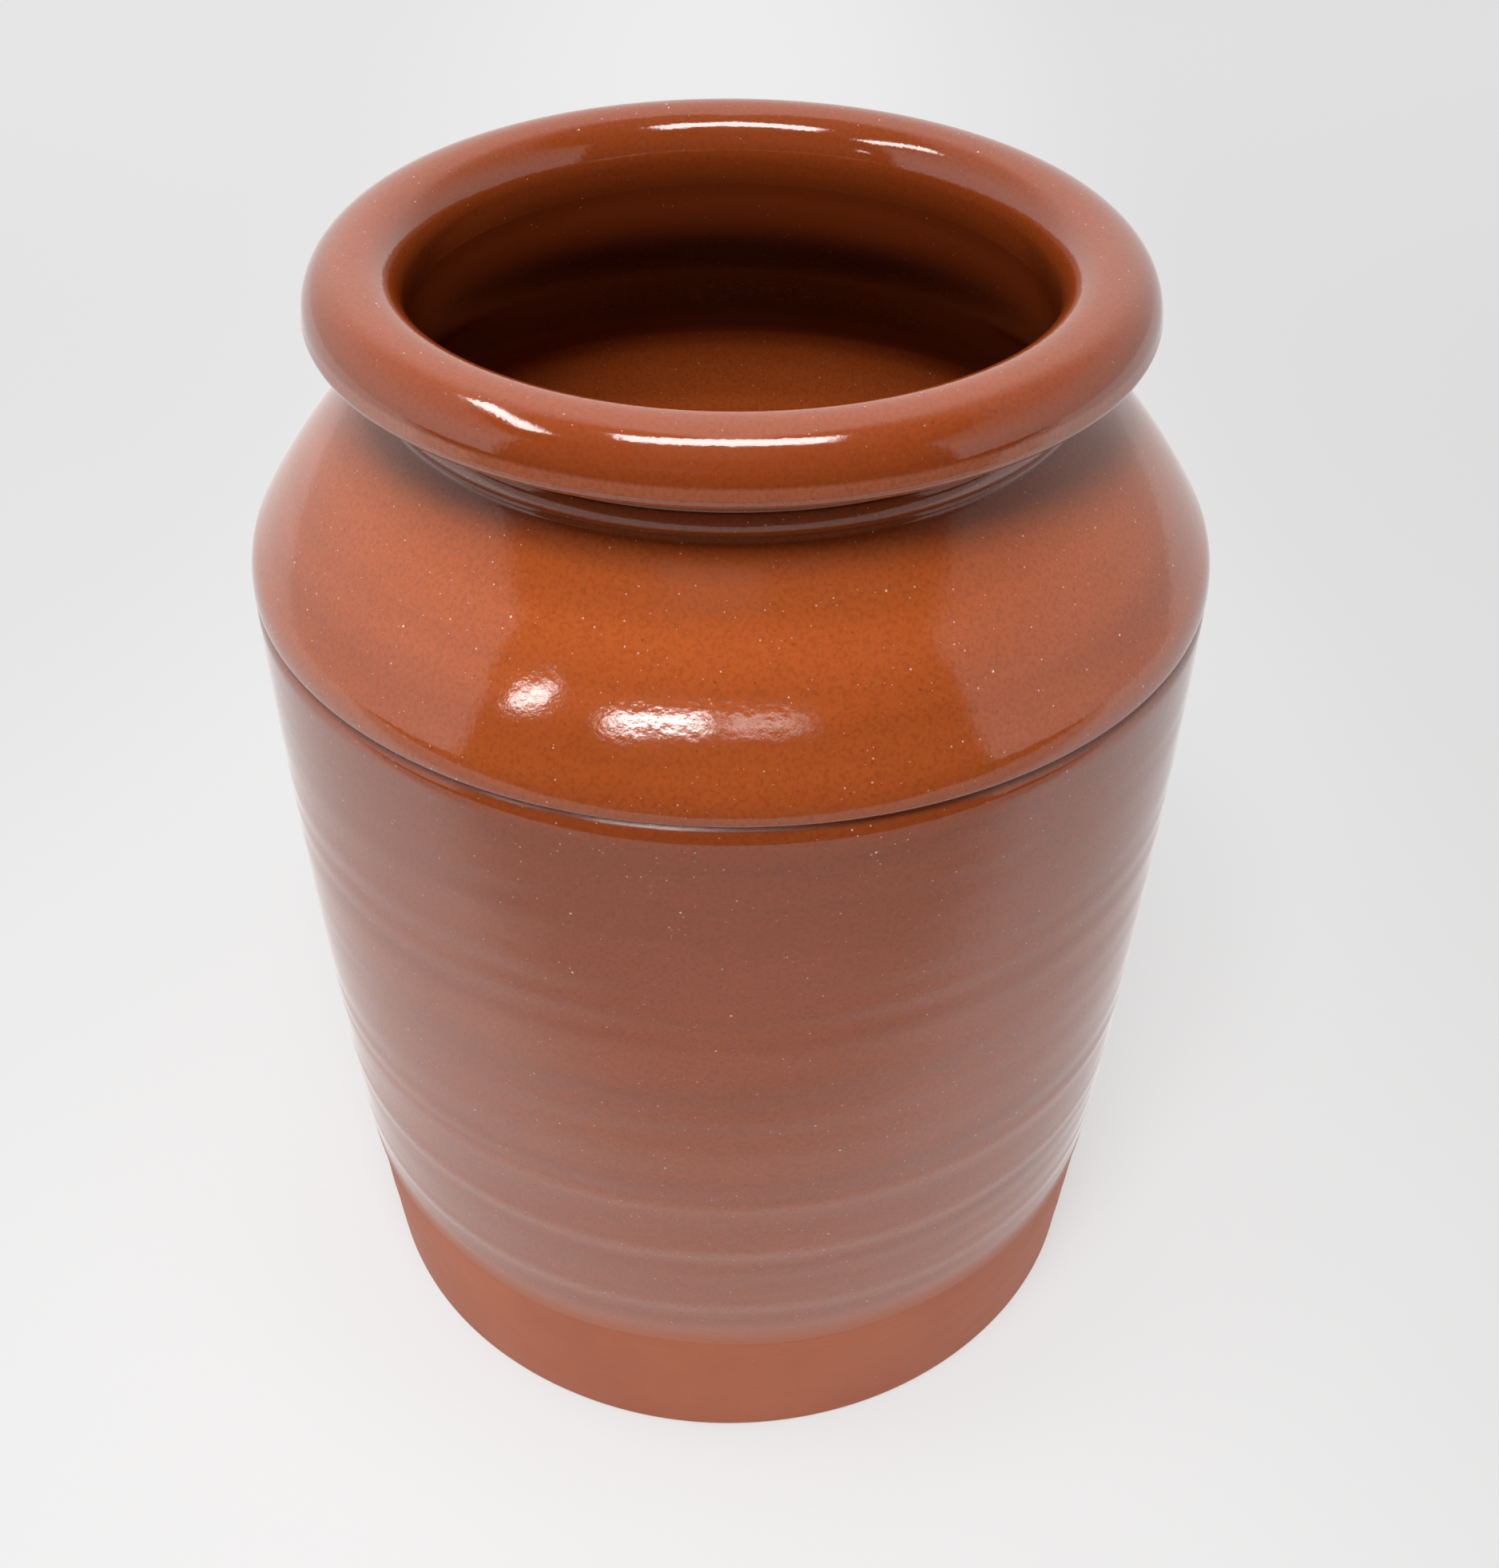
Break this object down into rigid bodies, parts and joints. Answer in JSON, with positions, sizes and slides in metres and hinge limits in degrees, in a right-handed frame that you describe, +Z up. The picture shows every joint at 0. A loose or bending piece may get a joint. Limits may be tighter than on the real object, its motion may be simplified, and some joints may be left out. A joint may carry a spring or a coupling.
{
  "type": "storage jar",
  "caption": "Open earthenware storage jar with a thick rolled rim, short neck, round shoulder ending at a groove, and a glazed body that narrows to a bare flat foot; holds dry or wet goods.",
  "frame": {"origin": "middle of the flat underside of the foot", "axes": "+Z up along the jar's axis, out of the mouth; the jar is round, so +X and +Y are any two level directions at right angles"},
  "size_m": [0.16, 0.16, 0.2083],
  "materials": {
    "bare_clay": "matte fired red earthenware",
    "outer_glaze": "glossy clear glaze over red clay",
    "inner_glaze": "glossy clear glaze over red clay"
  },
  "bodies": {
    "root": {"clay_body": "bare_clay", "outer_glaze": "outer_glaze", "inner_glaze": "inner_glaze"}
  },
  "joints": []
}
